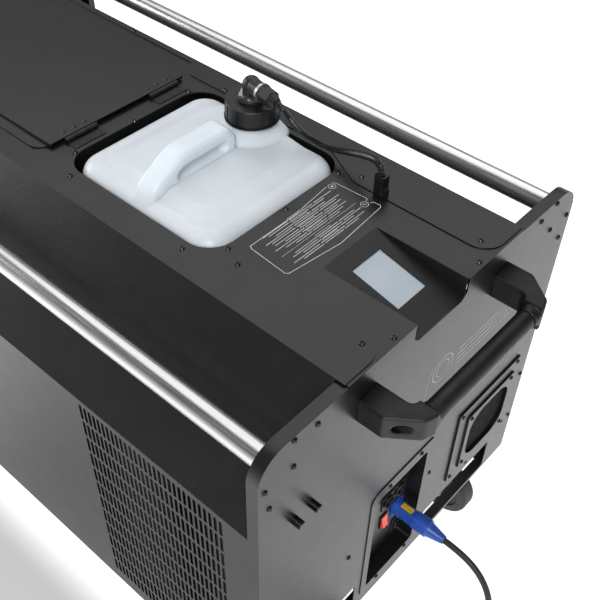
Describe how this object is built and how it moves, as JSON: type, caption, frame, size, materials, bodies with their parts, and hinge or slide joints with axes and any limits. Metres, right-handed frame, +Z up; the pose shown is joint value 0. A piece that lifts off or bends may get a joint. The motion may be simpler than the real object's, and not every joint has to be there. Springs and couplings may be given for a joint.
{
  "type": "low-fog machine",
  "caption": "Black low-fog machine on four casters, with a fluid can set into its deck, chrome side rails, a hinged hatch and carrying handles",
  "frame": {"origin": "on the floor under the middle of the machine", "axes": "+X along the machine towards the connector end, +Y across it towards the side with the exhaust, +Z up"},
  "size_m": [1.2417, 0.6, 0.7786],
  "materials": {
    "black_sheet": "satin, fine texture",
    "black_hardware": "satin",
    "rail_chrome": "polished",
    "display_glass": "gloss",
    "black_plastic": "matte",
    "black_rubber": "matte",
    "can_plastic": "translucent satin",
    "white_plastic": "satin",
    "clear_tube": "satin",
    "blue_plastic": "satin",
    "yellow_plastic": "satin",
    "red_plastic": "lit",
    "aluminium": "brushed",
    "zinc_steel": "zinc plated",
    "wheel_rubber": "matte",
    "insulation": "matte",
    "circuit_green": "satin"
  },
  "bodies": {
    "body": {"base_tray": "black_sheet", "rear_end_plate": "black_sheet", "front_end_plate": "black_sheet", "end_frames": "black_sheet", "centre_deck": "black_sheet", "left_sloped_cover": "black_sheet", "right_sloped_cover": "black_sheet", "left_side_panel": "black_sheet", "right_side_panel": "black_sheet", "side_rails": "rail_chrome", "lid_frame": "black_sheet", "lid_hinges": "black_hardware", "display_ramp": "black_sheet", "display_screen": "display_glass", "deck_clip": "black_plastic", "conduit": "black_rubber", "can_well": "black_sheet", "jerry_can": "can_plastic", "cap_insert": "black_plastic", "lock_nuts": "white_plastic", "suction_elbow": "black_plastic", "gland_nut": "black_plastic", "pickup_tube": "clear_tube", "handle_brackets": "black_plastic", "grip_bars": "black_plastic", "socket_bolts": "black_hardware", "exhaust_outer_plate": "black_sheet", "exhaust_inner_plate": "black_sheet", "exhaust_fan_housing": "black_plastic", "connector_tray": "black_sheet", "panel_sockets": "black_plastic", "power_inlet": "blue_plastic", "power_plug": "blue_plastic", "power_cord": "black_rubber", "cord_coil": "black_rubber", "mains_plug": "black_plastic", "outlet_collar": "aluminium", "caster_plates": "zinc_steel", "body_screws": "black_hardware", "compressor": "black_sheet", "condenser": "aluminium", "fog_chamber": "insulation", "heater_block": "aluminium", "fluid_pump": "black_plastic", "control_board": "circuit_green"},
    "lid": {"lid": "black_sheet", "lid_hinge_leaves": "black_hardware"},
    "cap": {"cap_ring": "black_plastic"},
    "exhaust_rotor": {"exhaust_fan_rotor": "black_plastic"},
    "cooling_rotor": {"condenser_fan": "black_plastic"},
    "rocker": {"rocker_switch": "red_plastic"},
    "latch": {"plug_latch": "yellow_plastic"},
    "swivel_rear_right": {"caster_fork_rear_right": "zinc_steel"},
    "wheel_rear_right": {"caster_wheel_rear_right": "wheel_rubber"},
    "swivel_rear_left": {"caster_fork_rear_left": "zinc_steel"},
    "wheel_rear_left": {"caster_wheel_rear_left": "wheel_rubber"},
    "swivel_front_right": {"caster_fork_front_right": "zinc_steel"},
    "wheel_front_right": {"caster_wheel_front_right": "wheel_rubber"},
    "swivel_front_left": {"caster_fork_front_left": "zinc_steel"},
    "wheel_front_left": {"caster_wheel_front_left": "wheel_rubber"}
  },
  "joints": [
    {"name": "lid_hinge", "type": "hinge", "parent": "body", "child": "lid", "pos_m": [-0.039, 0, 0.6923], "axis": [0, 1, 0], "range_deg": [0, 105]},
    {"name": "cap_turn", "type": "hinge", "parent": "body", "child": "cap", "pos_m": [0.126, 0.086, 0.73], "axis": [0, 0, 1], "range_deg": [0, 360]},
    {"name": "exhaust_fan_spin", "type": "hinge", "parent": "body", "child": "exhaust_rotor", "pos_m": [0.485, 0.1915, 0.301], "axis": [1, 0, 0], "continuous": true},
    {"name": "cooling_fan_spin", "type": "hinge", "parent": "body", "child": "cooling_rotor", "pos_m": [0.328, -0.23, 0.345], "axis": [0, 1, 0], "continuous": true},
    {"name": "power_rocker", "type": "hinge", "parent": "body", "child": "rocker", "pos_m": [0.47975, -0.021, 0.247], "axis": [0, 1, 0], "range_deg": [0, 9]},
    {"name": "latch_slide", "type": "slide", "parent": "body", "child": "latch", "axis": [1, 0, 0], "range_m": [0, 0.004], "stiffness_N_per_m": 300},
    {"name": "swivel_rear_right", "type": "hinge", "parent": "body", "child": "swivel_rear_right", "pos_m": [0.416, 0.217, 0.116], "axis": [0, 0, 1], "continuous": true},
    {"name": "roll_rear_right", "type": "hinge", "parent": "swivel_rear_right", "child": "wheel_rear_right", "pos_m": [0.454, 0.217, 0.05], "axis": [0, 1, 0], "continuous": true},
    {"name": "swivel_rear_left", "type": "hinge", "parent": "body", "child": "swivel_rear_left", "pos_m": [0.416, -0.217, 0.116], "axis": [0, 0, 1], "continuous": true},
    {"name": "roll_rear_left", "type": "hinge", "parent": "swivel_rear_left", "child": "wheel_rear_left", "pos_m": [0.454, -0.217, 0.05], "axis": [0, 1, 0], "continuous": true},
    {"name": "swivel_front_right", "type": "hinge", "parent": "body", "child": "swivel_front_right", "pos_m": [-0.416, 0.217, 0.116], "axis": [0, 0, 1], "continuous": true},
    {"name": "roll_front_right", "type": "hinge", "parent": "swivel_front_right", "child": "wheel_front_right", "pos_m": [-0.454, 0.217, 0.05], "axis": [0, 1, 0], "continuous": true},
    {"name": "swivel_front_left", "type": "hinge", "parent": "body", "child": "swivel_front_left", "pos_m": [-0.416, -0.217, 0.116], "axis": [0, 0, 1], "continuous": true},
    {"name": "roll_front_left", "type": "hinge", "parent": "swivel_front_left", "child": "wheel_front_left", "pos_m": [-0.454, -0.217, 0.05], "axis": [0, 1, 0], "continuous": true}
  ]
}
